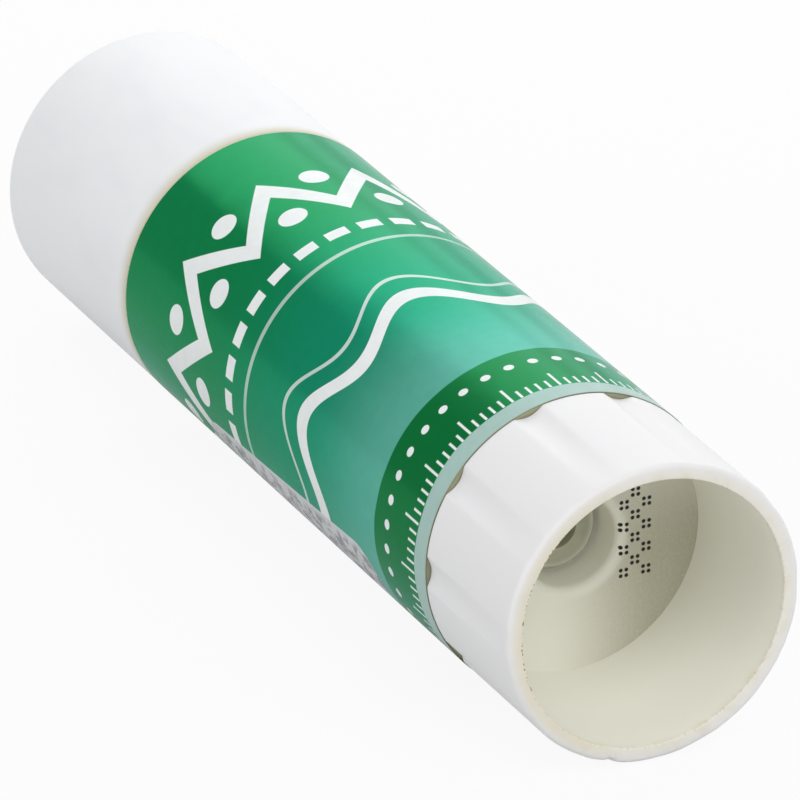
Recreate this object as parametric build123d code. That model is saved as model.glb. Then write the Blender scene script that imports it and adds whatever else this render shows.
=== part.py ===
"""A twist-up glue stick: cap, labelled barrel, fluted knob, screw spindle, carrier and glue.

Each piece is drawn standing on the knob's rim, with its heights measured up from that rim.
All of them are then laid on their side together: the knob faces +X and the stick rests on Z = 0.
Turning the knob clockwise, as seen from the knob's end, lifts the carrier and the glue.
"""

from build123d import *
import math
import os

# The stick's outside
label_radius = 15.0
label_thickness = 0.05
label_film = 0.01
label_foot_margin = 0.05
label_top_margin = 0.2
knob_height = 16.9
knob_gap = 0.15
body_length = 68.4
cap_gap = 0.1
cap_length = 29.85

# The barrel
barrel_wall = 2.54
neck_step = 1.34
neck_length = 21.9
neck_edge = 0.4
neck_bead_rise = 15.0
neck_bead_width = 1.6
neck_bead_height = 0.1
shoulder_edge = 0.25
foot_edge = 0.2
socket_wall = 1.44
rib_count = 4
rib_width = 1.4
rib_height = 0.5
rib_root = 0.4
rib_top_margin = 3.0

# The cap
cap_inset = 0.03
cap_end_thickness = 1.4
cap_corner_radius = 1.3
cap_inner_corner_radius = 1.0
cap_mouth_edge = 0.2
cap_clearance = 0.15

# The knob
knob_inset = 0.08
rim_width = 1.57
skirt_wall = 2.02
hollow_roof_drop = 0.3
knob_floor_thickness = 1.4
rim_edge_radius = 0.45
knob_top_edge = 0.15
flute_count = 10
flute_width = 3.8
flute_depth = 0.5
plug_length = 6.5
plug_wall = 1.3
plug_end_room = 0.85
plug_edge = 0.35
turning_clearance = 0.08
snap_bead_rise = 3.6
snap_bead_width = 1.6
snap_bead_height = 0.22
recess_edge_radius = 0.9
hub_wall = 1.3
web_thickness = 1.8

# The spindle and its thread
core_radius = 3.0
core_wall = 0.9
spindle_bore_end = 1.6
shank_wall = 1.0
flat_depth = 0.5
head_lip = 0.55
head_height = 0.9
head_edge = 0.3
head_room = 0.45
flange_lip = 2.0
flange_thickness = 1.2
thread_rise = 0.8
thread_height = 1.0
thread_root_width = 2.0
thread_crest_width = 1.2
thread_lead = 5.0
tip_depth = 11.65
tip_margin = 1.2
tip_edge = 0.6
press_clearance = 0.03
thread_clearance = 0.2

# The carrier
carrier_rise = 0.3
carrier_floor_thickness = 1.3
carrier_height = 11.0
carrier_wall = 0.9
carrier_edge = 0.3
nut_height = 10.0
nut_wall = 1.6
sliding_clearance = 0.15

# The glue
glue_clearance = 0.25
glue_seat_clearance = 0.05
glue_crown = 0.6
glue_edge_radius = 0.8
spindle_room = 0.35
tip_room = 0.8

# One overrun for every cut that passes a face, and how near an edge lies to where it is looked for
overrun = 1.0
edge_match = 0.04

# Heights above the knob's rim
hollow_depth = knob_height - hollow_roof_drop
barrel_foot = knob_height + knob_gap
plug_top = knob_height + plug_length
socket_top = plug_top + plug_end_room
shoulder_height = barrel_foot + body_length
mouth_height = shoulder_height + neck_length
cap_foot = shoulder_height + cap_gap
total_length = cap_foot + cap_length
thread_foot = plug_top + thread_rise
flange_foot = thread_foot - flange_thickness
web_foot = flange_foot - web_thickness
carrier_foot = thread_foot + carrier_rise
spindle_tip = mouth_height - tip_depth
thread_start = thread_foot + thread_root_width / 2 + thread_clearance
spindle_turns = (spindle_tip - tip_edge - thread_root_width / 2 - thread_start) / thread_lead
travel = spindle_tip - tip_margin - nut_height - carrier_foot

# Radii of the outer pieces, all from the label's
barrel_radius = label_radius - label_thickness - label_film
cap_radius = label_radius - cap_inset
knob_radius = label_radius - knob_inset
bore_radius = barrel_radius - barrel_wall
neck_radius = barrel_radius - neck_step
socket_radius = barrel_radius - socket_wall
cap_bore_radius = neck_radius + cap_clearance
plug_radius = socket_radius - turning_clearance
hollow_mouth_radius = knob_radius - rim_width
hollow_floor_radius = knob_radius - skirt_wall

# Radii of the spindle, and of the nut, the recess and the hub round it
crest_radius = core_radius + thread_height
nut_radius = crest_radius + thread_clearance + nut_wall
spindle_bore_radius = core_radius - core_wall
shank_flat = spindle_bore_radius + shank_wall
shank_radius = shank_flat + flat_depth
head_radius = shank_radius + head_lip
flange_radius = shank_radius + flange_lip
recess_radius = head_radius + head_room
hub_radius = recess_radius + hub_wall

# Radii of what slides in the barrel's bore
carrier_radius = bore_radius - sliding_clearance
cup_bore_radius = carrier_radius - carrier_wall
glue_radius = bore_radius - glue_clearance
rib_crest_radius = bore_radius - rib_height


def turned(*points):
    """The solid that a closed half section of (radius, height) points makes about the stick's axis."""
    outline = Polyline(*[(radius, 0, height) for radius, height in points], close=True)
    return revolve(make_face(outline), Axis.Z)


def tube(inner, outer, low, high):
    """A plain ring from one height to another."""
    return turned((inner, low), (outer, low), (outer, high), (inner, high))


def rod(radius, low, high):
    """A plain cylinder on the stick's axis."""
    return turned((0, low), (radius, low), (radius, high), (0, high))


def bead(radius, height, width, middle):
    """A low ring with sloping sides that stands out of a wall of that radius."""
    return turned(
        (radius - height, middle - width / 2),
        (radius, middle - width / 2),
        (radius + height, middle - width / 4),
        (radius + height, middle + width / 4),
        (radius, middle + width / 2),
        (radius - height, middle + width / 2),
    )


def around(shape, count):
    """Copies of a shape, evenly spaced about the stick's axis."""
    return [Rot(0, 0, 360 * index / count) * shape for index in range(count)]


def edges_at(solid, radius, height):
    """The round edges of a solid at one radius and height."""
    circles = solid.edges().filter_by(GeomType.CIRCLE)
    found = circles.filter_by_position(Axis.Z, height - edge_match, height + edge_match)
    return [edge for edge in found if abs(edge.radius - radius) < edge_match]


def thread(grown, low, turns):
    """The left-hand thread's ridge, grown on every side by a clearance, rising from a height."""
    root = core_radius - thread_height / 4
    root_half = thread_root_width / 2 + grown
    crest_half = thread_crest_width / 2 + grown
    helix = Helix(thread_lead, thread_lead * turns, root, center=(0, 0, low), lefthand=True)
    profile = Polyline(
        (root, 0, low - root_half),
        (crest_radius + grown, 0, low - crest_half),
        (crest_radius + grown, 0, low + crest_half),
        (root, 0, low + root_half),
        close=True,
    )
    return sweep(make_face(profile), path=helix, is_frenet=True)


def double_d(radius, flat, low, high):
    """A round bar with two flats, one on each side."""
    bar = rod(radius, low, high)
    return bar & Pos(0, 0, (low + high) / 2) * Box(2 * flat, 2 * radius, high - low)


def guide_ribs(width, crest, root, low, high):
    """Bars that lie along the bore, from one radius out to another."""
    middle = Pos((crest + root) / 2, 0, (low + high) / 2)
    return around(middle * Box(root - crest, width, high - low), rib_count)


def make_cap():
    """The cap: a thin cup pushed over the neck, with a shallow groove where the neck's bead clicks home."""
    inner_end = total_length - cap_end_thickness
    cup = turned(
        (cap_bore_radius, cap_foot),
        (cap_radius, cap_foot),
        (cap_radius, total_length),
        (0, total_length),
        (0, inner_end),
        (cap_bore_radius, inner_end),
    )
    cup = fillet(edges_at(cup, cap_radius, total_length), cap_corner_radius)
    cup = fillet(edges_at(cup, cap_bore_radius, inner_end), cap_inner_corner_radius)
    cup = fillet(edges_at(cup, cap_radius, cap_foot), cap_mouth_edge)
    groove_width = neck_bead_width + 2 * cap_clearance
    return cup - bead(cap_bore_radius, neck_bead_height, groove_width, shoulder_height + neck_bead_rise)


def make_barrel():
    """The barrel: a thick body with a narrower neck, guide ribs in its bore and a socket for the knob."""
    body = turned(
        (socket_radius, barrel_foot),
        (barrel_radius, barrel_foot),
        (barrel_radius, shoulder_height),
        (neck_radius, shoulder_height),
        (neck_radius, mouth_height),
        (bore_radius, mouth_height),
        (bore_radius, socket_top),
        (socket_radius, socket_top),
    )
    body = chamfer(edges_at(body, neck_radius, mouth_height), neck_edge)
    body = chamfer(edges_at(body, barrel_radius, shoulder_height), shoulder_edge)
    body = chamfer(edges_at(body, barrel_radius, barrel_foot), foot_edge)
    body += bead(neck_radius, neck_bead_height, neck_bead_width, shoulder_height + neck_bead_rise)
    groove_width = snap_bead_width + 4 * turning_clearance
    body -= bead(socket_radius, snap_bead_height, groove_width, knob_height + snap_bead_rise)
    rib_top = mouth_height - rib_top_margin
    return body + guide_ribs(rib_width, rib_crest_radius, bore_radius + rib_root, socket_top, rib_top)


def make_label():
    """The printed film, a thin sleeve round the barrel's body."""
    foot = barrel_foot + label_foot_margin
    top = shoulder_height - label_top_margin
    return tube(label_radius - label_thickness, label_radius, foot, top)


def flute_cutter():
    """A round bar that cuts one shallow flute of the set width and depth down the knob's side."""
    half = flute_width / 2
    drop = flute_depth - knob_radius + math.sqrt(knob_radius**2 - half**2)
    cut_radius = (half**2 + drop**2) / (2 * drop)
    bar = Pos(knob_radius - flute_depth + cut_radius, 0, knob_height / 2)
    return Rot(0, 0, 180 / flute_count) * bar * Cylinder(cut_radius, knob_height + overrun)


def make_knob():
    """The knob: a fluted hollow skirt, a floor with a hub, and a plug that snaps and turns in the barrel."""
    floor_top = hollow_depth + knob_floor_thickness
    knob = turned(
        (hollow_mouth_radius, 0),
        (knob_radius, 0),
        (knob_radius, knob_height),
        (plug_radius, knob_height),
        (plug_radius, plug_top),
        (plug_radius - plug_wall, plug_top),
        (plug_radius - plug_wall, floor_top),
        (hub_radius, floor_top),
        (hub_radius, flange_foot),
        (0, flange_foot),
        (0, web_foot),
        (recess_radius, web_foot),
        (recess_radius, hollow_depth),
        (hollow_floor_radius, hollow_depth),
    )
    knob = fillet(edges_at(knob, knob_radius, 0), rim_edge_radius)
    knob = chamfer(edges_at(knob, knob_radius, knob_height), knob_top_edge)
    knob = chamfer(edges_at(knob, plug_radius, plug_top), plug_edge)
    knob = fillet(edges_at(knob, recess_radius, hollow_depth), recess_edge_radius)
    knob += bead(plug_radius, snap_bead_height, snap_bead_width, knob_height + snap_bead_rise)
    knob -= around(flute_cutter(), flute_count)
    hole_radius = shank_radius + press_clearance
    hole_flat = shank_flat + press_clearance
    return knob - double_d(hole_radius, hole_flat, web_foot - overrun, flange_foot + overrun)


def make_spindle():
    """The spindle: a hollow screw, locked in the knob's hub between its flange and its snapped head."""
    head_foot = web_foot - head_height
    head = rod(head_radius, head_foot, web_foot)
    head = chamfer(edges_at(head, head_radius, head_foot), head_edge)
    core = rod(core_radius, thread_foot, spindle_tip)
    core = chamfer(edges_at(core, core_radius, spindle_tip), tip_edge)
    spindle = head + double_d(shank_radius, shank_flat, web_foot, flange_foot)
    spindle += rod(flange_radius, flange_foot, thread_foot)
    spindle += core
    spindle += thread(0, thread_start, spindle_turns)
    return spindle - rod(spindle_bore_radius, head_foot - overrun, spindle_tip - spindle_bore_end)


def make_nut():
    """The carrier's nut: a long threaded sleeve, trimmed so that the thread runs out at both ends."""
    groove_foot = thread_start - thread_lead
    groove_turns = nut_height / thread_lead + 2
    sleeve_top = groove_foot + (groove_turns + 1) * thread_lead
    sleeve = tube(core_radius + thread_clearance, nut_radius, groove_foot - thread_lead, sleeve_top)
    sleeve -= thread(thread_clearance, groove_foot, groove_turns)
    return sleeve & rod(nut_radius + overrun, carrier_foot, carrier_foot + nut_height)


def make_carrier():
    """The carrier: a cup that the glue is cast in, with a nut on the spindle and notches for the ribs."""
    rim = carrier_foot + carrier_height
    floor_top = carrier_foot + carrier_floor_thickness
    cup = turned(
        (nut_radius, carrier_foot),
        (carrier_radius, carrier_foot),
        (carrier_radius, rim),
        (cup_bore_radius, rim),
        (cup_bore_radius, floor_top),
        (nut_radius, floor_top),
    )
    cup = chamfer(edges_at(cup, carrier_radius, carrier_foot), carrier_edge)
    notch_width = rib_width + 2 * sliding_clearance
    notch_floor = rib_crest_radius - sliding_clearance
    cup -= guide_ribs(notch_width, notch_floor, bore_radius, carrier_foot - overrun, rim + overrun)
    return cup + make_nut()


def make_glue():
    """The glue: a cast cylinder that fills the carrier and stands in the bore, hollow round the spindle."""
    seat = carrier_foot + carrier_floor_thickness
    rim = carrier_foot + carrier_height + glue_seat_clearance
    nut_top = carrier_foot + nut_height + glue_seat_clearance
    top = mouth_height + glue_crown
    hollow_top = spindle_tip + tip_room
    stick = turned(
        (nut_radius + glue_seat_clearance, seat),
        (cup_bore_radius - glue_seat_clearance, seat),
        (cup_bore_radius - glue_seat_clearance, rim),
        (glue_radius, rim),
        (glue_radius, top),
        (0, top),
        (0, hollow_top),
        (crest_radius + spindle_room, hollow_top),
        (crest_radius + spindle_room, nut_top),
        (nut_radius + glue_seat_clearance, nut_top),
    )
    stick = fillet(edges_at(stick, glue_radius, top), glue_edge_radius)
    groove_width = rib_width + 2 * glue_clearance
    groove_floor = rib_crest_radius - glue_clearance
    return stick - guide_ribs(groove_width, groove_floor, bore_radius, rim - overrun, top + overrun)


pieces = {
    "cap": make_cap(),
    "barrel": make_barrel(),
    "label": make_label(),
    "twist_knob": make_knob(),
    "screw_spindle": make_spindle(),
    "glue_carrier": make_carrier(),
    "glue_stick": make_glue(),
}

# Laid on its side, with the middle of its length over the origin
lay_down = Pos(total_length / 2, 0, label_radius) * Rot(0, -90, 0)
os.makedirs("parts", exist_ok=True)
for name, piece in pieces.items():
    export_step(lay_down * piece, f"parts/{name}.step")
print(f"The carrier climbs {travel:.1f} mm in {travel / thread_lead:.2f} turns of the knob.")
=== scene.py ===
# %% [markdown]
# This lesson dresses a twist-up glue stick. It lies on its side with the open end of its twist knob at
# +X, and a white cap at the far end. The printed film round the barrel is green and glossy, and the cap
# and the knob are white moulded plastic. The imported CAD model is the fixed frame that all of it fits.

# %% Load the frame
import bmesh
import bpy
import math
from mathutils import Matrix, Vector


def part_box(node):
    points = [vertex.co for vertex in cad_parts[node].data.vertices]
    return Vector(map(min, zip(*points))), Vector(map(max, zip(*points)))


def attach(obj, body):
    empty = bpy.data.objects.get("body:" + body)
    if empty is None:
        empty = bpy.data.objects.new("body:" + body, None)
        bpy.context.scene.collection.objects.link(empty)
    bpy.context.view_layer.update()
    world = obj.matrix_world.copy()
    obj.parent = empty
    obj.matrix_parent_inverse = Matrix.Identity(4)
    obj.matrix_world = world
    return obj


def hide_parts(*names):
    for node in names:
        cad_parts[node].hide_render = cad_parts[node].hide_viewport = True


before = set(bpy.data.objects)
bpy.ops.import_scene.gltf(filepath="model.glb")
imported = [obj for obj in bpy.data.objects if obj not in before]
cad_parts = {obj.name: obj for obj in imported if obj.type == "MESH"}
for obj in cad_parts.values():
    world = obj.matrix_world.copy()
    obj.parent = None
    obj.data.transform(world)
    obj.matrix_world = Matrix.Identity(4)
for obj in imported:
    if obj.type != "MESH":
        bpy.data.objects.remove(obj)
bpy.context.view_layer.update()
print("CAD nodes:", sorted(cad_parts))

# %% [markdown]
# Everything here is round about one axis. So a place is named as a turner would name it: a distance
# from the axis and a height above the rim of the knob, as if the stick stood on its knob. The axis, the
# rim and the main radii are read from the frame's own pieces, so nothing has to be fitted by eye.

# %% The stick's axis, rim and main sizes
MM = 0.001
CENTRE = Vector((0, 0, 0))
label_low, label_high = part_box("label")
barrel_low, barrel_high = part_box("barrel")
knob_low, knob_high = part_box("twist_knob")
cap_low, cap_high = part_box("cap")
axis_z = (barrel_low.z + barrel_high.z) / 2
rim_x = knob_high.x
label_radius = label_high.z - axis_z
knob_radius = knob_high.z - axis_z
cap_radius = cap_high.z - axis_z
label_foot = rim_x - label_high.x
label_top = rim_x - label_low.x
barrel_foot = rim_x - barrel_high.x
plug_top = rim_x - knob_low.x
cap_foot = rim_x - cap_high.x
cap_end = rim_x - cap_low.x


def spot(height, radius=0.0, angle=0.0):
    """The point at a height above the rim and a distance from the axis, turned from +Y towards +Z."""
    return Vector((rim_x - height, radius * math.cos(angle), axis_z + radius * math.sin(angle)))


print("length in mm:", round(cap_end / MM, 2), "label across:", round(2 * label_radius / MM, 2))

# %% [markdown]
# A product photo of a small thing is taken from far off with a long lens, so its far end hardly looks
# smaller than its near end. The camera stands most of a metre away, held level, and looks down on the
# open end of the knob from the side.

# %% Set up the camera
view_forward = Vector((-0.82204, 0.38985, -0.41504))
rim_to_camera = Vector((658.06, -337.74, 358.74)) * MM
camera_data = bpy.data.cameras.new("studio_camera")
camera_data.sensor_width = 36.0
camera_data.lens = 405.9
camera = bpy.data.objects.new("studio_camera", camera_data)
back = -view_forward.normalized()
right = Vector((0, 0, 1)).cross(back).normalized()
turn = Matrix((right, back.cross(right), back)).transposed().to_4x4()
camera.matrix_world = Matrix.Translation(spot(0) + rim_to_camera) @ turn
bpy.context.scene.collection.objects.link(camera)
bpy.context.scene.camera = camera
bpy.context.scene.view_settings.view_transform = "Standard"
print("camera at", [round(value, 3) for value in camera.matrix_world.translation])

# %% [markdown]
# A material is a tree of small nodes, and each finish below is built from the same few of them. These
# helpers add one node each and wire it up, so that a recipe further down reads as a line of words.

# %% Helpers that add shader nodes
def new_material(name):
    """A new material with its tree and its plastic shader."""
    made = bpy.data.materials.new(name)
    made.use_nodes = True
    return made, made.node_tree, made.node_tree.nodes["Principled BSDF"]


def feed(tree, socket, value):
    """Gives a socket a number, a colour or what another node puts out."""
    if isinstance(value, bpy.types.NodeSocket):
        tree.links.new(value, socket)
    else:
        socket.default_value = value


def maths(tree, operation, *values):
    """One sum on numbers."""
    node = tree.nodes.new("ShaderNodeMath")
    node.operation = operation
    for socket, value in zip(node.inputs, values):
        feed(tree, socket, value)
    return node.outputs[0]


def ease(tree, value, low, high):
    """Rises softly from 0 where the value is low to 1 where it is high."""
    node = tree.nodes.new("ShaderNodeMapRange")
    node.interpolation_type = "SMOOTHSTEP"
    feed(tree, node.inputs["Value"], value)
    feed(tree, node.inputs["From Min"], low)
    feed(tree, node.inputs["From Max"], high)
    return node.outputs["Result"]


def between(tree, value, low, high, soft):
    """1 between two values and 0 outside them, with soft ends."""
    start = ease(tree, value, low - soft, low + soft)
    end = ease(tree, value, high + soft, high - soft)
    return maths(tree, "MULTIPLY", start, end)


def blend_colours(tree, share, first, second):
    """The first colour where the share is 0, and the second where it is 1."""
    node = tree.nodes.new("ShaderNodeMix")
    node.data_type = "RGBA"
    colours = [socket for socket in node.inputs if socket.type == "RGBA"]
    feed(tree, node.inputs[0], share)
    for socket, value in zip(colours, (first, second)):
        feed(tree, socket, value if isinstance(value, bpy.types.NodeSocket) else (*value, 1))
    return [socket for socket in node.outputs if socket.type == "RGBA"][0]


def grain(tree, size, detail=2.0, stretch=(1, 1, 1)):
    """Cloudy noise from 0 to 1 whose lumps are about that size, in metres."""
    here = tree.nodes.new("ShaderNodeTexCoord").outputs["Object"]
    mapping = tree.nodes.new("ShaderNodeMapping")
    mapping.inputs["Scale"].default_value = stretch
    tree.links.new(here, mapping.inputs["Vector"])
    node = tree.nodes.new("ShaderNodeTexNoise")
    node.inputs["Scale"].default_value = 1 / size
    node.inputs["Detail"].default_value = detail
    tree.links.new(mapping.outputs[0], node.inputs["Vector"])
    return node.outputs["Fac"]


def relief(tree, height, distance, strength=1.0):
    """A bump from a height map: how far its highest point stands out, in metres."""
    node = tree.nodes.new("ShaderNodeBump")
    node.inputs["Distance"].default_value = distance
    node.inputs["Strength"].default_value = strength
    tree.links.new(height, node.inputs["Height"])
    return node.outputs["Normal"]


def places(tree):
    """Height above the rim, distance from the axis and angle from the top, in mm and radians."""
    here = tree.nodes.new("ShaderNodeTexCoord").outputs["Object"]
    axes = tree.nodes.new("ShaderNodeSeparateXYZ")
    tree.links.new(here, axes.inputs[0])
    up = maths(tree, "MULTIPLY_ADD", axes.outputs["Z"], 1 / MM, -axis_z / MM)
    across = maths(tree, "MULTIPLY", axes.outputs["Y"], -1 / MM)
    height = maths(tree, "MULTIPLY_ADD", axes.outputs["X"], -1 / MM, rim_x / MM)
    squares = maths(tree, "ADD", maths(tree, "POWER", up, 2.0), maths(tree, "POWER", across, 2.0))
    return height, maths(tree, "SQRT", squares), maths(tree, "ARCTAN2", across, up)


def give(piece, material):
    """Puts one material on all of a piece."""
    piece.data.materials.clear()
    piece.data.materials.append(material)


print("shader helpers are ready")

# %% [markdown]
# The stick lies on a white sweep in a light tent. The floor is plain diffuse white and keeps the soft
# shadow, and a share of it shows the camera pure white, as a lit sweep does. Light Path makes that
# choice, so the floor throws no extra light on the stick.

# %% Lay down the floor
floor_glow_share = 0.92
floor_mirror_share = 0.2
floor_white = 0.72
floor_size = 6.0
floor_material, floor_tree, floor_shader = new_material("white_sweep")
floor_tree.nodes.remove(floor_shader)
floor_matt = floor_tree.nodes.new("ShaderNodeBsdfDiffuse")
floor_matt.inputs["Color"].default_value = (floor_white, floor_white, floor_white, 1)
floor_glow = floor_tree.nodes.new("ShaderNodeEmission")
floor_mix = floor_tree.nodes.new("ShaderNodeMixShader")
rays = floor_tree.nodes.new("ShaderNodeLightPath").outputs
seen = maths(floor_tree, "MAXIMUM", rays["Is Camera Ray"], rays["Is Transmission Ray"])
seen = maths(floor_tree, "MULTIPLY", seen, floor_glow_share)
mirrored = maths(floor_tree, "MULTIPLY", rays["Is Glossy Ray"], floor_mirror_share)
feed(floor_tree, floor_mix.inputs[0], maths(floor_tree, "MAXIMUM", seen, mirrored))
floor_tree.links.new(floor_matt.outputs[0], floor_mix.inputs[1])
floor_tree.links.new(floor_glow.outputs[0], floor_mix.inputs[2])
floor_tree.links.new(floor_mix.outputs[0], floor_tree.nodes["Material Output"].inputs["Surface"])
bpy.ops.object.select_all(action="DESELECT")
bpy.ops.mesh.primitive_plane_add(size=floor_size, location=CENTRE)
floor = bpy.context.object
floor.name = "floor"
give(floor, floor_material)
print("floor is", floor_size, "m across")

# %% [markdown]
# Five soft boxes light the stick. The key hangs in front and above, and reaches into the hollow knob.
# A dimmer one fills the near side. Three more stand behind the cap, where the film's far side mirrors
# them: they are the pale glare on the film, and the slanted edge of the nearest one is the line where the
# glare stops. The world adds the even, dimmer light of a tent's walls.

# %% Hang the soft boxes and light the tent
def soft_box(name, place, aim, turn, size, depth, radiance):
    """A large soft lamp as bright as a white wall at that strength, which the camera can't see."""
    lamp = bpy.data.lights.new(name, "AREA")
    lamp.shape = "RECTANGLE"
    lamp.size = size
    lamp.size_y = depth
    lamp.energy = radiance * math.pi * size * depth
    holder = bpy.data.objects.new(name, lamp)
    facing = (Vector(aim) - Vector(place)).to_track_quat("-Z", "Y")
    holder.rotation_euler = (facing.to_matrix() @ Matrix.Rotation(turn, 3, "Z")).to_euler()
    holder.location = place
    holder.visible_camera = False
    bpy.context.scene.collection.objects.link(holder)


tent_strength = 0.5
world = bpy.data.worlds.new("light_tent")
world.use_nodes = True
tent = world.node_tree.nodes["Background"]
tent.inputs["Color"].default_value = (1, 1, 1, 1)
tent.inputs["Strength"].default_value = tent_strength
bpy.context.scene.world = world
stick_middle = (0, 0, axis_z)
soft_box("key_box", (0.8, 0.05, 0.9), stick_middle, 0.0, 0.85, 0.85, 2.65)
soft_box("side_box", (-0.1, -1.2, 0.45), stick_middle, 0.0, 0.8, 0.8, 1.6)
glare_turn = math.radians(45.7)
soft_box("near_glare_box", (-0.414, 0.349, 0.315), (-0.414, 0.349, 0), glare_turn, 0.9, 0.56, 1.7)
soft_box("far_glare_box", (-1.13, 1.047, 0.315), (-1.13, 1.047, 0), glare_turn, 0.9, 1.44, 0.75)
soft_box("low_glare_box", (-1.9, 1.25, 0.3), stick_middle, 0.0, 1.6, 0.6, 0.45)

# %% [markdown]
# Now the finishes. The film's print is drawn by sums on two numbers: the height above the rim, and the
# arc, which is how far round the film a point lies, measured in mm from the line along its top. A shape
# is a distance that is small inside it, and ease turns that distance into ink with a crisp edge.

# %% Helpers that draw with ink
ink_soft = 0.05
around_label = 2 * math.pi * label_radius / MM


def stroke(tree, distance, half_width):
    """Ink along the line where the distance is zero."""
    size = maths(tree, "ABSOLUTE", distance)
    return ease(tree, size, half_width + ink_soft, half_width - ink_soft)


def repeat(tree, arc, count, shift=0.0):
    """The nearest of a number of evenly spaced places round the film: how far off it is, and its number."""
    pitch = around_label / count
    turns = maths(tree, "MULTIPLY_ADD", arc, 1 / pitch, shift)
    number = maths(tree, "ROUND", turns)
    off = maths(tree, "MULTIPLY", maths(tree, "SUBTRACT", turns, number), pitch)
    return off, number


def ring_shape(tree, across, along, size):
    """Distance from a ring's line, or from a dot's edge."""
    squares = maths(tree, "ADD", maths(tree, "POWER", across, 2.0), maths(tree, "POWER", along, 2.0))
    return maths(tree, "SUBTRACT", maths(tree, "SQRT", squares), size)


def dot_row(tree, arc, height, count, middle, size, shift=0.0):
    """A row of round dots round the film."""
    across, _ = repeat(tree, arc, count, shift)
    edge = ring_shape(tree, across, maths(tree, "SUBTRACT", height, middle), size)
    return ease(tree, edge, ink_soft, -ink_soft)


def bar_row(tree, arc, height, count, middle, half_length, half_width):
    """A row of short bars round the film."""
    across, _ = repeat(tree, arc, count)
    bar = stroke(tree, maths(tree, "SUBTRACT", height, middle), half_width)
    return maths(tree, "MULTIPLY", bar, stroke(tree, across, half_length))


def zigzag(tree, arc, height, count, middle, rise, half_width):
    """A bold zigzag line round the film, like a pinked edge."""
    half_pitch = around_label / count / 2
    sweep = maths(tree, "PINGPONG", arc, half_pitch)
    slope = rise / half_pitch
    line = maths(tree, "MULTIPLY_ADD", sweep, -slope, height)
    line = maths(tree, "SUBTRACT", line, middle - rise / 2)
    across = maths(tree, "MULTIPLY", line, math.cos(math.atan(slope)))
    return stroke(tree, across, half_width)


print("the film is", round(around_label, 1), "mm round")

# %% [markdown]
# The film is printed green at the cap and fades to pale mint near the knob, where a dark band and a bare
# pale strip finish it. On the green there are a bold zigzag, dots, bars and a wavy line, a ruler edge
# runs along the band, and a white panel for notes is low on the near side. The green and the band have
# more pearl in their ink than the mint, and the white print and the bare strip have none.

# %% Print the film
deep_green = (0.0, 0.228, 0.064)
mid_green = (0.003, 0.28, 0.145)
pale_mint = (0.11, 0.43, 0.34)
band_green = (0.0, 0.175, 0.036)
strip_mint = (0.4, 0.57, 0.53)
white_ink = (0.85, 0.88, 0.88)
panel_white = (0.68, 0.69, 0.71)
panel_grey = (0.07, 0.07, 0.085)
deep_above, mid_below = 70.0, 44.0
mid_above, mint_below = 46.0, 27.0
band_low, band_high = 19.4, 28.0
edge_soft = 0.08
zigzag_count, zigzag_middle, zigzag_rise = 9, 70.5, 7.5
zigzag_half_width = 0.95
valley_middle, peak_middle, big_dot = 73.6, 67.4, 1.5
bar_count, bar_middle = 27, 60.9
bar_half_length, bar_half_width = 1.15, 0.8
thin_line_height, thin_half_width = 57.1, 0.3
wave_count, wave_rise = 6.0, 2.4
swirl_middle, swirl_half_width = 42.5, 1.1
echo_middle = 46.6
tick_count, tick_half_width = 95, 0.13
short_tick, extra_length = 1.6, 1.3
small_dot_count, small_dot_middle, small_dot = 38, 25.4, 0.5
panel_middle, panel_half, panel_corner = 50.0, 19.5, 3.5
panel_start, panel_slope, panel_cut = 26.0, 0.05, 45.0
rules_middle, rule_gap = 34.0, 1.6
rules_start, rules_stop = 30.5, 43.5
foot_stain_colour = (0.42, 0.4, 0.22)
pearl_share = 0.42
mint_pearl_share = 0.2

film, tree, shader = new_material("printed_film")
height, _, angle = places(tree)
arc = maths(tree, "MULTIPLY", angle, label_radius / MM)
wander = maths(tree, "MULTIPLY_ADD", grain(tree, 9 * MM), 0.8, -0.4)
edge_height = maths(tree, "ADD", height, wander)
ground = blend_colours(tree, ease(tree, height, deep_above, mid_below), deep_green, mid_green)
ground = blend_colours(tree, ease(tree, height, mid_above, mint_below), ground, pale_mint)
in_band = between(tree, edge_height, band_low, band_high, edge_soft)
ground = blend_colours(tree, in_band, ground, band_green)
in_strip = ease(tree, edge_height, band_low + edge_soft, band_low - edge_soft)
ground = blend_colours(tree, in_strip, ground, strip_mint)

pinking = zigzag(tree, arc, height, zigzag_count, zigzag_middle, zigzag_rise, zigzag_half_width)
valley_dots = dot_row(tree, arc, height, zigzag_count, valley_middle, big_dot)
peak_dots = dot_row(tree, arc, height, zigzag_count, peak_middle, big_dot, 0.5)
bars = bar_row(tree, arc, height, bar_count, bar_middle, bar_half_length, bar_half_width)
wave = maths(tree, "SINE", maths(tree, "MULTIPLY", angle, wave_count))
wave = maths(tree, "MULTIPLY_ADD", wave, -wave_rise, height)
swirl = stroke(tree, maths(tree, "SUBTRACT", wave, swirl_middle), swirl_half_width)
echo = stroke(tree, maths(tree, "SUBTRACT", wave, echo_middle), thin_half_width)
echo = maths(tree, "MULTIPLY", echo, 0.7)
line = stroke(tree, maths(tree, "SUBTRACT", height, thin_line_height), thin_half_width)
line = maths(tree, "MULTIPLY", line, 0.55)
tick_off, tick_number = repeat(tree, arc, tick_count)
tick_long = maths(tree, "COMPARE", maths(tree, "FLOORED_MODULO", tick_number, 5.0), 0.0, 0.5)
tick_top = maths(tree, "MULTIPLY_ADD", tick_long, extra_length, band_low + short_tick)
below_top = ease(tree, height, tick_top, maths(tree, "SUBTRACT", tick_top, 0.1))
ticks = maths(tree, "MULTIPLY", stroke(tree, tick_off, tick_half_width), below_top)
ticks = maths(tree, "MULTIPLY", ticks, maths(tree, "GREATER_THAN", height, band_low + 0.1))
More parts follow.
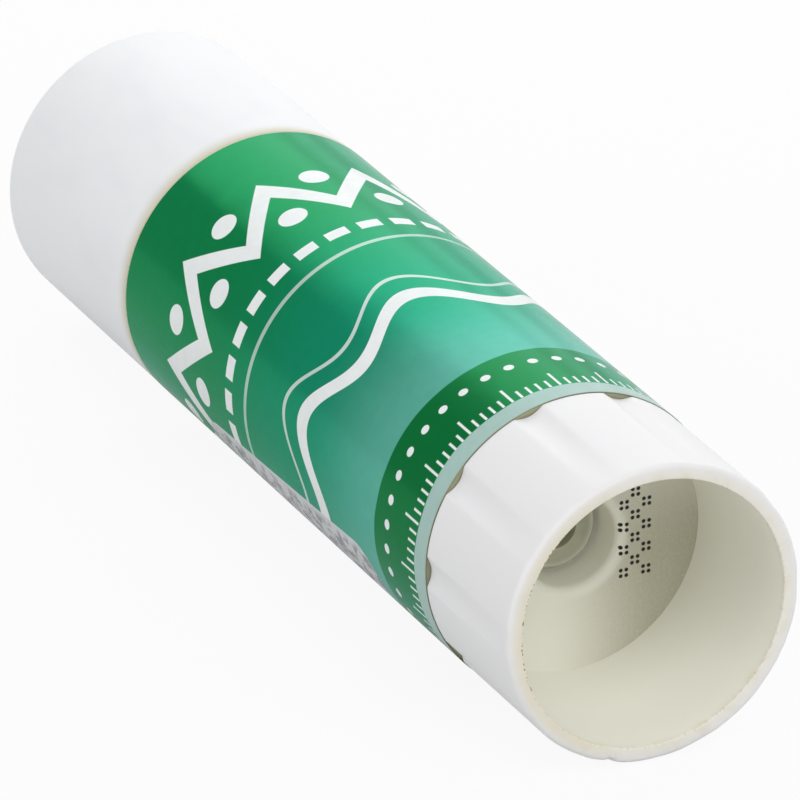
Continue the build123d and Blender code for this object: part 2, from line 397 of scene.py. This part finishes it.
dots = dot_row(tree, arc, height, small_dot_count, small_dot_middle, small_dot)
ink = pinking
for more in (valley_dots, peak_dots, bars, swirl, echo, line, ticks, dots):
    ink = maths(tree, "MAXIMUM", ink, more)
printed = blend_colours(tree, ink, ground, white_ink)

panel_edge = maths(tree, "MULTIPLY_ADD", height, panel_slope, panel_start)
beyond_side = maths(tree, "SUBTRACT", maths(tree, "ADD", panel_edge, panel_corner), arc)
beyond_side = maths(tree, "MAXIMUM", beyond_side, 0.0)
from_middle = maths(tree, "ABSOLUTE", maths(tree, "SUBTRACT", height, panel_middle))
beyond_end = maths(tree, "MAXIMUM", maths(tree, "SUBTRACT", from_middle, panel_half - panel_corner), 0.0)
panel = ease(tree, ring_shape(tree, beyond_side, beyond_end, panel_corner), ink_soft, -ink_soft)
panel = maths(tree, "MULTIPLY", panel, ease(tree, arc, panel_cut + 0.1, panel_cut))
rule_off = maths(tree, "PINGPONG", maths(tree, "SUBTRACT", height, rules_middle), rule_gap)
across_rules = between(tree, arc, rules_start, rules_stop, 0.06)
rules = maths(tree, "MULTIPLY", ease(tree, rule_off, 0.2, 0.12), across_rules)
rules = maths(tree, "MULTIPLY", rules, 0.85)
smudge = ease(tree, grain(tree, 1.3 * MM, 4.0), 0.45, 0.6)
panel_ink = maths(tree, "MAXIMUM", rules, maths(tree, "MULTIPLY", smudge, 0.7))
panel_margin = ease(tree, arc, panel_edge, maths(tree, "ADD", panel_edge, 1.5))
panel_ink = maths(tree, "MULTIPLY", panel_ink, panel_margin)
printed = blend_colours(tree, panel, printed, blend_colours(tree, panel_ink, panel_white, panel_grey))
cut_edge = ease(tree, height, label_foot / MM + 0.2, label_foot / MM - 0.05)
printed = blend_colours(tree, maths(tree, "MULTIPLY", cut_edge, 0.5), printed, foot_stain_colour)
rub = maths(tree, "MULTIPLY_ADD", grain(tree, 1.3 * MM, 5.0), 0.14, 0.93)
shade = tree.nodes.new("ShaderNodeVectorMath")
shade.operation = "SCALE"
feed(tree, shade.inputs[0], printed)
feed(tree, shade.inputs["Scale"], rub)
feed(tree, shader.inputs["Base Color"], shade.outputs[0])
gloss = maths(tree, "MULTIPLY_ADD", grain(tree, 3 * MM, 4.0), 0.1, 0.13)
feed(tree, shader.inputs["Roughness"], gloss)
plain_share = maths(tree, "MAXIMUM", maths(tree, "MAXIMUM", ink, panel), in_strip)
in_green = maths(tree, "MAXIMUM", ease(tree, height, 24.0, mid_above), in_band)
pearl = maths(tree, "MULTIPLY_ADD", in_green, pearl_share - mint_pearl_share, mint_pearl_share)
pearl = maths(tree, "MULTIPLY", maths(tree, "SUBTRACT", 1.0, plain_share), pearl)
feed(tree, shader.inputs["Metallic"], pearl)
shader.inputs["IOR"].default_value = 1.22
shader.inputs["Specular Tint"].default_value = (0.12, 1.0, 0.8, 1)
fine_swell = maths(tree, "MULTIPLY", grain(tree, 0.35 * MM, 2.0), 0.03)
swell = maths(tree, "ADD", grain(tree, 7 * MM, 1.0), fine_swell)
feed(tree, shader.inputs["Normal"], relief(tree, swell, 0.02 * MM))
print("film nodes:", len(tree.nodes))

# %% [markdown]
# The cap is moulded polypropylene: a cool white that light sinks into a little, with a satin skin. A few
# faint grey smears from handling and a fine skin texture keep it from looking like plain paint. A beige
# band of painted shade deepens towards its mouth, where it meets the film.

# %% Mould the cap's plastic
cap_white = (0.87, 0.88, 0.9)
cap_smear = (0.72, 0.74, 0.78)
# the colour of the painted shade at the cap's mouth
mouth_beige = (0.62, 0.58, 0.42)
cap_plastic, tree, shader = new_material("cap_plastic")
height, _, _ = places(tree)
smears = ease(tree, grain(tree, 9 * MM, 2.0, (1, 2, 2)), 0.45, 0.8)
skin = blend_colours(tree, maths(tree, "MULTIPLY", smears, 0.2), cap_white, cap_smear)
# painted shade: a beige band that deepens over the last few mm towards the mouth
mouth_shade = ease(tree, height, cap_foot / MM + 2.4, cap_foot / MM - 0.3)
skin = blend_colours(tree, maths(tree, "MULTIPLY", maths(tree, "POWER", mouth_shade, 1.5), 0.9), skin, mouth_beige)
feed(tree, shader.inputs["Base Color"], skin)
feed(tree, shader.inputs["Roughness"], maths(tree, "MULTIPLY_ADD", grain(tree, 4 * MM, 3.0), 0.16, 0.48))
shader.inputs["IOR"].default_value = 1.4
shader.inputs["Subsurface Weight"].default_value = 0.15
shader.inputs["Subsurface Radius"].default_value = (1.0, 0.95, 0.9)
shader.inputs["Subsurface Scale"].default_value = 1.2 * MM
feed(tree, shader.inputs["Normal"], relief(tree, grain(tree, 0.4 * MM, 3.0), 0.006 * MM))
give(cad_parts["cap"], cap_plastic)
print("cap finish is on")

# %% [markdown]
# The knob is the same plastic, but a fingertip or dust reaches it more. Its outside is a cool white, its
# rim is warmer where light comes through, its hollow has yellowed a little, and brown grime sits along
# the inner edge of the rim in patches. The near side of the rim is tinted yellower. One side of the
# hollow's floor is darkened by painted shade with a fine grain in it: it stands in for shade that these
# lamps don't cast, so it stays there under any other light. A batch mark of plain dots is printed on the
# same side.

# %% Mould the knob's plastic
knob_white = (0.87, 0.87, 0.88)
hollow_cream = (0.89, 0.88, 0.79)
rim_cream = (0.88, 0.85, 0.76)
rim_yellow = (0.82, 0.77, 0.62)
grime_brown = (0.2, 0.12, 0.035)
# the colour of the painted shade on one side of the hollow's floor
painted_floor_shade = (0.5, 0.48, 0.37)
dot_black = (0.012, 0.012, 0.012)
dot_pitch, dot_size, dot_soft = 0.58, 0.2, 0.04
block_size = 2 * dot_pitch
# the heights where the painted shade on the hollow's floor begins and is full
floor_shade_starts, floor_shade_full = 16.42, 16.56
dirty_from, dirty_to = 0.8, 2.0
knob_plastic, tree, shader = new_material("knob_plastic")
height, radius, angle = places(tree)
rim_inside = 13.35
inside = ease(tree, radius, rim_inside + 0.5, rim_inside)
across_rim = ease(tree, radius, rim_inside + 1.7, rim_inside + 0.1)
at_rim = maths(tree, "MULTIPLY", ease(tree, height, 1.2, 0.1), across_rim)
skin = blend_colours(tree, inside, knob_white, hollow_cream)
rim_tint = blend_colours(tree, ease(tree, grain(tree, 2.2 * MM, 3.0), 0.45, 0.7), rim_cream, rim_yellow)
skin = blend_colours(tree, maths(tree, "MULTIPLY", at_rim, 0.8), skin, rim_tint)
dirty_part = between(tree, angle, dirty_from, dirty_to, 0.25)
across = maths(tree, "MULTIPLY", radius, maths(tree, "SINE", angle))
up = maths(tree, "MULTIPLY", radius, maths(tree, "COSINE", angle))
# the near side of the rim is tinted yellower
near_rim_tint = maths(tree, "MULTIPLY", ease(tree, across, 2.0, 9.0), ease(tree, height, 0.9, 0.1))
near_rim_tint = maths(tree, "MULTIPLY", near_rim_tint, ease(tree, radius, 14.9, 13.5))
skin = blend_colours(tree, maths(tree, "MULTIPLY", near_rim_tint, 0.75), skin, rim_yellow)
# painted shade: darkens the hollow's floor towards +Y and low down, broken up by a fine grain
floor_shade_mask = maths(tree, "MULTIPLY", ease(tree, across, 3.5, -9.0), ease(tree, up, 12.0, -3.0))
floor_shade_mask = maths(tree, "MULTIPLY", floor_shade_mask, ease(tree, grain(tree, 0.3 * MM, 3.0), -1.2, 0.85))
floor_shade_mask = maths(tree, "MULTIPLY", floor_shade_mask, ease(tree, height, floor_shade_starts, floor_shade_full))
floor_shade_mask = maths(tree, "MULTIPLY", floor_shade_mask, ease(tree, radius, 4.9, 6.0))
skin = blend_colours(tree, floor_shade_mask, skin, painted_floor_shade)
specks = ease(tree, grain(tree, 0.3 * MM, 3.0, (0.5, 1, 1)), 0.52, 0.62)
along_edge = between(tree, radius, rim_inside - 0.1, rim_inside + 0.16, 0.08)
dirt = maths(tree, "MULTIPLY", specks, along_edge)
dirt = maths(tree, "MULTIPLY", dirt, maths(tree, "MAXIMUM", dirty_part, 0.15))
dirt = maths(tree, "MULTIPLY", dirt, ease(tree, height, 0.5, 0.2))
skin = blend_colours(tree, dirt, skin, grime_brown)
dot_across = maths(tree, "SUBTRACT", dot_pitch / 2, maths(tree, "PINGPONG", across, dot_pitch / 2))
dot_up = maths(tree, "SUBTRACT", dot_pitch / 2, maths(tree, "PINGPONG", up, dot_pitch / 2))
dot_spot = ring_shape(tree, dot_across, dot_up, dot_size)
column = maths(tree, "FLOOR", maths(tree, "DIVIDE", across, block_size))
row = maths(tree, "FLOOR", maths(tree, "DIVIDE", up, block_size))
chequer = maths(tree, "FLOORED_MODULO", maths(tree, "ADD", column, row), 2.0)
batch_dots = maths(tree, "MULTIPLY", ease(tree, dot_spot, dot_soft, -dot_soft), chequer)
in_columns = between(tree, across, -7 * block_size, -4 * block_size, 0.02)
in_rows = between(tree, up, -4 * block_size, 4 * block_size, 0.02)
on_floor = between(tree, height, 16.0, 17.0, 0.1)
for limit in (in_columns, in_rows, on_floor):
    batch_dots = maths(tree, "MULTIPLY", batch_dots, limit)
skin = blend_colours(tree, batch_dots, skin, dot_black)
feed(tree, shader.inputs["Base Color"], skin)
feed(tree, shader.inputs["Roughness"], maths(tree, "MULTIPLY_ADD", grain(tree, 3 * MM, 3.0), 0.16, 0.42))
shader.inputs["IOR"].default_value = 1.4
shader.inputs["Subsurface Weight"].default_value = 0.1
shader.inputs["Subsurface Radius"].default_value = (1.0, 0.9, 0.75)
shader.inputs["Subsurface Scale"].default_value = 0.7 * MM
feed(tree, shader.inputs["Normal"], relief(tree, grain(tree, 0.5 * MM, 3.0), 0.008 * MM))
give(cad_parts["twist_knob"], knob_plastic)
print("knob finish is on")

# %% [markdown]
# The barrel, the spindle and the carrier hide inside until the cap is off. They are natural, undyed
# plastic. The barrel's foot, which shows through the ends of the flutes, is dark olive: partly old glue,
# partly painted shade of the narrow gap there. The spindle is a darker olive, with a lighter ring at the
# edge of its head.

# %% Mould the inner pieces
def natural_plastic(name, colour, grey_share, roughness):
    """Undyed plastic with faint clouds and a fine skin."""
    made, tree, shader = new_material(name)
    clouds = ease(tree, grain(tree, 3 * MM, 4.0), 0.4, 0.7)
    darker = tuple(channel * 0.8 for channel in colour)
    skin = blend_colours(tree, maths(tree, "MULTIPLY", clouds, grey_share), colour, darker)
    feed(tree, shader.inputs["Base Color"], skin)
    rough = maths(tree, "MULTIPLY_ADD", grain(tree, 2 * MM, 3.0), 0.15, roughness)
    feed(tree, shader.inputs["Roughness"], rough)
    shader.inputs["Subsurface Weight"].default_value = 0.2
    shader.inputs["Subsurface Radius"].default_value = (1.0, 0.95, 0.8)
    shader.inputs["Subsurface Scale"].default_value = 1.0 * MM
    feed(tree, shader.inputs["Normal"], relief(tree, grain(tree, 0.4 * MM, 3.0), 0.008 * MM))
    return made, tree, shader, skin


barrel_plastic, tree, shader, skin = natural_plastic("barrel_plastic", (0.88, 0.88, 0.86), 0.12, 0.38)
height, _, _ = places(tree)
# dark olive at the barrel's foot: partly old glue, partly painted shade of the gap under the film
foot_glue_and_shade = ease(tree, height, barrel_foot / MM + 0.35, barrel_foot / MM + 0.1)
stained_and_shaded = blend_colours(tree, maths(tree, "MULTIPLY", foot_glue_and_shade, 0.9), skin, (0.26, 0.25, 0.13))
feed(tree, shader.inputs["Base Color"], stained_and_shaded)
give(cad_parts["barrel"], barrel_plastic)
spindle_plastic, tree, shader, skin = natural_plastic("spindle_plastic", (0.52, 0.52, 0.4), 0.6, 0.4)
height, radius, _ = places(tree)
# a lighter ring at the edge of the spindle's head, on a darker olive plastic
head_edge_ring = maths(tree, "MULTIPLY", between(tree, radius, 3.6, 4.1, 0.4), ease(tree, height, 21.4, 20.6))
feed(tree, shader.inputs["Base Color"], blend_colours(tree, head_edge_ring, skin, (0.72, 0.71, 0.61)))
give(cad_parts["screw_spindle"], spindle_plastic)
carrier_plastic = natural_plastic("carrier_plastic", (0.84, 0.84, 0.8), 0.3, 0.4)[0]
give(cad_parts["glue_carrier"], carrier_plastic)
print("inner finishes are on")

# %% [markdown]
# The glue itself is a soft wax-like soap. Light goes deep into it, its skin is a little wet, and its top
# has the marks of paper that it was rubbed on.

# %% Mix the glue
glue, tree, shader = new_material("glue_wax")
clouds = ease(tree, grain(tree, 2.5 * MM, 4.0), 0.35, 0.7)
feed(tree, shader.inputs["Base Color"], blend_colours(tree, clouds, (0.9, 0.89, 0.82), (0.84, 0.83, 0.74)))
feed(tree, shader.inputs["Roughness"], maths(tree, "MULTIPLY_ADD", grain(tree, 1.5 * MM, 3.0), 0.3, 0.25))
shader.inputs["Subsurface Weight"].default_value = 0.6
shader.inputs["Subsurface Radius"].default_value = (1.0, 0.9, 0.7)
shader.inputs["Subsurface Scale"].default_value = 3 * MM
rubbed = grain(tree, 1.2 * MM, 5.0, (1, 0.25, 1))
feed(tree, shader.inputs["Normal"], relief(tree, rubbed, 0.06 * MM))
give(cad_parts["glue_stick"], glue)
print("glue is mixed")

# %% [markdown]
# The next pieces are modelled, so they need helpers too. A round piece is drawn as a turner would: a
# circle is laid at the first place, and then extruded and resized from place to place along the wall's
# outline. The outline is only a few pairs of radius and height.

# %% Helpers that model round pieces
near = 0.02 * MM


def start_circle(name, sides, radius, height, fill):
    """A circle round the axis at a height above the rim, left in edit mode with all of it selected."""
    bpy.ops.object.select_all(action="DESELECT")
    bpy.ops.mesh.primitive_circle_add(
        vertices=sides, radius=radius, fill_type=fill, location=spot(height), rotation=(0, math.pi / 2, 0))
    piece = bpy.context.object
    piece.name = name
    piece.data.name = name
    bpy.ops.object.transform_apply(location=True, rotation=True, scale=True)
    bpy.ops.object.mode_set(mode="EDIT")
    bpy.ops.mesh.select_all(action="SELECT")
    return piece


def turn_outline(name, sides, outline, fill="NOTHING"):
    """Extrudes a circle along an outline of radius and height pairs, and stays in edit mode."""
    radius, height = outline[0]
    piece = start_circle(name, sides, radius, height, fill)
    for next_radius, next_height in outline[1:]:
        bpy.ops.mesh.extrude_region_move(TRANSFORM_OT_translate={"value": (height - next_height, 0, 0)})
        grow = next_radius / radius
        bpy.ops.transform.resize(value=(1, grow, grow), center_override=spot(next_height))
        radius, height = next_radius, next_height
    return piece


def face_outwards():
    """Turns every face of the mesh in edit mode outwards."""
    bpy.ops.mesh.select_all(action="SELECT")
    bpy.ops.mesh.normals_make_consistent(inside=False)


def where(point):
    """A point's distance from the axis and its height above the rim."""
    return math.hypot(point.y, point.z - axis_z), rim_x - point.x


def pick_edges(piece, wanted):
    """Selects the edges whose two ends both pass a test of radius and height."""
    bpy.ops.mesh.select_mode(type="EDGE")
    bpy.ops.mesh.select_all(action="DESELECT")
    mesh = bmesh.from_edit_mesh(piece.data)
    for edge in mesh.edges:
        edge.select_set(all(wanted(*where(vertex.co)) for vertex in edge.verts))
    bmesh.update_edit_mesh(piece.data)
    return sum(edge.select for edge in mesh.edges)


def round_edge(piece, radius, height, size, steps):
    """Bevels the ring of edges at one radius and height."""
    pick_edges(piece, lambda r, h: abs(r - radius) < near and abs(h - height) < near)
    bpy.ops.mesh.bevel(offset=size, segments=steps, affect="EDGES", offset_type="OFFSET")


def add_modifier(piece, kind, **settings):
    """Adds a modifier with settings and applies it at once."""
    made = piece.modifiers.new(kind.lower(), kind)
    for name, value in settings.items():
        setattr(made, name, value)
    bpy.ops.object.select_all(action="DESELECT")
    piece.select_set(True)
    bpy.context.view_layer.objects.active = piece
    bpy.ops.object.modifier_apply(modifier=made.name)


def leave_edit():
    """Goes back to object mode."""
    bpy.ops.object.mode_set(mode="OBJECT")


def smooth(piece, degrees=25):
    """Shades a piece smooth, except over edges sharper than an angle."""
    bpy.ops.object.select_all(action="DESELECT")
    piece.select_set(True)
    bpy.context.view_layer.objects.active = piece
    bpy.ops.object.shade_smooth_by_angle(angle=math.radians(degrees))


print("modelling helpers are ready")

# %% [markdown]
# The film is a strip of thin plastic wound once round the barrel and stuck down. It is made as an open
# tube in many short steps, so that its foot can wander a little as a hand-cut edge does. A narrow part
# under the stick is lifted where the ends overlap, and Solidify gives it its thickness.

# %% Wind the film round the barrel
film_thickness = 0.05 * MM
film_steps = 34
film_sides = 240
overlap_start = math.radians(-70)
overlap_width = math.radians(14)
overlap_lift = 0.05 * MM
step = (label_top - label_foot) / film_steps
film_outline = [(label_radius, label_foot + step * index) for index in range(film_steps + 1)]
label_film = turn_outline("label_film", film_sides, film_outline)
leave_edit()
print("film faces:", len(label_film.data.polygons))

# %% Lift the overlap, let the foot wander and thicken the film
foot_group = label_film.vertex_groups.new(name="foot")
overlap_group = label_film.vertex_groups.new(name="overlap")
for vertex in label_film.data.vertices:
    radius, height = where(vertex.co)
    near_foot = max(0.0, 1 - (height - label_foot) / (3 * step))
    if near_foot > 0:
        foot_group.add([vertex.index], near_foot, "REPLACE")
    turned = math.atan2(vertex.co.z - axis_z, vertex.co.y) - overlap_start
    if 0 < turned < overlap_width:
        overlap_group.add([vertex.index], 1.0, "REPLACE")
ripple = bpy.data.textures.new("film_ripple", "CLOUDS")
ripple.noise_scale = 6 * MM
ripple.noise_depth = 1
add_modifier(label_film, "DISPLACE", texture=ripple, texture_coords="GLOBAL", direction="X",
             strength=0.12 * MM, mid_level=0.5, vertex_group="foot")
bpy.ops.object.mode_set(mode="EDIT")
face_outwards()
leave_edit()
add_modifier(label_film, "DISPLACE", direction="NORMAL", strength=overlap_lift, mid_level=0.0,
             vertex_group="overlap")
add_modifier(label_film, "SOLIDIFY", thickness=film_thickness, offset=-1.0)
smooth(label_film)
give(label_film, film)
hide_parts("label")
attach(label_film, "barrel")
print("film vertices:", len(label_film.data.vertices))

# %% [markdown]
# The knob is a hollow cup with ten shallow flutes down its outside. The mould draws off over the rim, so
# each flute is deep at the film and almost gone at the rim. The outer wall is made first, as an open
# tube whose faces all point straight out. A vertex group says how deep each place is, and Displace
# pushes the wall in by it. That gives soft flutes with no hard edge to repair.

# %% Turn the knob's outer wall and press in the flutes
knob_sides = 360
flute_count = 10
flute_depth = 0.52 * MM
flute_half_width = 1.6 * MM
flute_rim_share = 0.12
rim_radius = knob_radius - 0.05 * MM
knob_height = barrel_foot - 0.08 * MM
wall_rows = [0, 1.0, 2.2, 4.5, 7.0, 9.5, 12.0, 14.5, 16.2, knob_height / MM]
wall_outline = [
    (rim_radius + (knob_radius - rim_radius) * row / wall_rows[-1], row * MM) for row in wall_rows]


def weigh(piece, name, weight):
    """A vertex group whose weights come from a function of radius, height and angle."""
    group = piece.vertex_groups.new(name=name)
    for vertex in piece.data.vertices:
        angle = math.atan2(vertex.co.z - axis_z, vertex.co.y)
        amount = weight(*where(vertex.co), angle)
        if amount > 0:
            group.add([vertex.index], min(amount, 1.0), "REPLACE")


def bell(distance, reach):
    """1 in the middle, falling smoothly to 0 at a distance."""
    return max(0.0, 1 - (distance / reach) ** 2) ** 2


def scoop(distance, reach):
    """1 in the middle of a scooped groove, falling to 0 at its two crisp edges."""
    return max(0.0, 1 - (distance / reach) ** 2) ** 1.2


def flute_weight(radius, height, angle):
    """How far a flute reaches in at one place of the wall."""
    pitch = 2 * math.pi / flute_count
    off = (angle + pitch / 2) % pitch - pitch / 2
    deep = flute_rim_share + (1 - flute_rim_share) * min(1.0, height / knob_height)
    return scoop(off * knob_radius, flute_half_width) * deep


knob_shell = turn_outline("knob_shell", knob_sides, wall_outline)
face_outwards()
leave_edit()
weigh(knob_shell, "flutes", flute_weight)
add_modifier(knob_shell, "DISPLACE", direction="NORMAL", strength=-flute_depth, mid_level=0.0,
             vertex_group="flutes")
print("knob wall faces:", len(knob_shell.data.polygons))

# %% [markdown]
# The inside of the knob is one more turned outline, with the same number of sides: the hollow, its
# floor, the recess round the spindle's head, and the plug that snaps into the barrel. The two shells are
# joined, and bridging their edges makes the rim and the shoulder. The inside waits a little further out
# until then, because two loops in one plane can be bridged to the wrong points.

# %% Turn the inside of the knob and join the two shells
recess_radius = 4.6 * MM
recess_roof = 21.2 * MM
hole_radius = 3.63 * MM
hub_radius = 5.9 * MM
hub_top = 23.0 * MM
hollow_floor = 16.6 * MM
floor_back = 18.0 * MM
mouth_radius = 13.35 * MM
floor_radius = 12.9 * MM
plug_radius = 13.42 * MM
plug_bore = 12.12 * MM
bead_radius = 13.64 * MM
bridge_gap = 1 * MM
inside_outline = [
    (mouth_radius, 0), (floor_radius, hollow_floor), (recess_radius, hollow_floor),
    (recess_radius, recess_roof), (hole_radius, recess_roof), (hole_radius, hub_top),
    (hub_radius, hub_top), (hub_radius, floor_back), (plug_bore, floor_back), (plug_bore, plug_top),
    (plug_radius, plug_top), (plug_radius, 21.3 * MM), (bead_radius, 20.9 * MM),
    (bead_radius, 20.1 * MM), (plug_radius, 19.7 * MM), (plug_radius, knob_height)]
inside_shell = turn_outline(
    "inside_shell", knob_sides, [(radius, height - bridge_gap) for radius, height in inside_outline])
leave_edit()
weigh(inside_shell, "inside", lambda radius, height, angle: 1.0)
bpy.ops.object.select_all(action="DESELECT")
inside_shell.select_set(True)
knob_shell.select_set(True)
bpy.context.view_layer.objects.active = knob_shell
bpy.ops.object.join()
bpy.ops.object.mode_set(mode="EDIT")
print("vertices of the two shells:", len(knob_shell.data.vertices))

# %% Bridge the rim and the shoulder, and push the inside home
pick_edges(knob_shell, lambda radius, height: abs(height + bridge_gap) < near or (
    abs(height) < near and radius > mouth_radius + near))
bpy.ops.mesh.bridge_edge_loops()
pick_edges(knob_shell, lambda radius, height: abs(height - knob_height + bridge_gap) < near and abs(
    radius - plug_radius) < near or (abs(height - knob_height) < near and radius > plug_radius + near))
bpy.ops.mesh.bridge_edge_loops()
bpy.ops.mesh.select_mode(type="VERT")
bpy.ops.mesh.select_all(action="DESELECT")
bpy.ops.object.vertex_group_set_active(group="inside")
bpy.ops.object.vertex_group_select()
bpy.ops.transform.translate(value=(-bridge_gap, 0, 0))
face_outwards()
print("the shells are one")

# %% Round the knob's edges
rim_edges = pick_edges(
    knob_shell, lambda radius, height: abs(height) < near and radius > mouth_radius + 1 * MM)
bpy.ops.mesh.bevel(offset=0.5 * MM, segments=5, affect="EDGES")
round_edge(knob_shell, mouth_radius, 0, 0.12 * MM, 3)
round_edge(knob_shell, recess_radius, hollow_floor, 0.95 * MM, 6)
round_edge(knob_shell, recess_radius, recess_roof, 0.4 * MM, 3)
round_edge(knob_shell, floor_radius, hollow_floor, 0.12 * MM, 3)
leave_edit()
print("rim edges:", rim_edges, "knob faces:", len(knob_shell.data.polygons))

# %% [markdown]
# A moulded rim is never quite even, and this one has a small nick. A cloud texture moves the rim in and
# out by a few hundredths of a millimetre, and one small place is pushed in for the nick.

# %% Make the rim uneven
nick_angle = math.radians(253 - 360)
nick_reach = 0.75 * MM
nick_depth = 0.35 * MM
rim_ripple = bpy.data.textures.new("rim_ripple", "CLOUDS")
rim_ripple.noise_scale = 2.6 * MM
weigh(knob_shell, "rim", lambda radius, height, angle: (
    bell(height, 1.6 * MM) * bell(knob_radius - radius, 2.2 * MM)))
weigh(knob_shell, "nick", lambda radius, height, angle: bell(
    math.hypot((angle - nick_angle) * rim_radius, height, rim_radius - radius), nick_reach))
add_modifier(knob_shell, "DISPLACE", texture=rim_ripple, texture_coords="GLOBAL", direction="NORMAL",
             strength=0.16 * MM, mid_level=0.5, vertex_group="rim")
add_modifier(knob_shell, "DISPLACE", direction="NORMAL", strength=-nick_depth, mid_level=0.0,
             vertex_group="nick")
smooth(knob_shell, 40)
give(knob_shell, knob_plastic)
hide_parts("twist_knob")
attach(knob_shell, "knob")
print("knob vertices:", len(knob_shell.data.vertices))

# %% [markdown]
# The cap is a plain deep cup. Its outline starts at the middle of the closed end, runs down the outside,
# over the mouth and up the inside. A filled circle carries the end wall along, so both ends are closed.

# %% Turn the cap
cap_bore = 13.75 * MM
cap_end_wall = 1.4 * MM
cap_groove = 13.85 * MM
groove_middle = cap_foot + 14.9 * MM
inner_end = cap_end - cap_end_wall
cap_outline = [
    (cap_radius, cap_end), (cap_radius, cap_foot), (cap_bore, cap_foot),
    (cap_bore, groove_middle - 0.95 * MM), (cap_groove, groove_middle - 0.45 * MM),
    (cap_groove, groove_middle + 0.45 * MM), (cap_bore, groove_middle + 0.95 * MM), (cap_bore, inner_end)]
cap_shell = turn_outline("cap_shell", 240, cap_outline, "NGON")
face_outwards()
round_edge(cap_shell, cap_radius, cap_end, 1.3 * MM, 7)
round_edge(cap_shell, cap_bore, inner_end, 1.0 * MM, 5)
round_edge(cap_shell, cap_radius, cap_foot, 0.25 * MM, 3)
round_edge(cap_shell, cap_bore, cap_foot, 0.15 * MM, 2)
leave_edit()
smooth(cap_shell, 30)
give(cap_shell, cap_plastic)
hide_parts("cap")
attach(cap_shell, "cap")
print("cap vertices:", len(cap_shell.data.vertices))
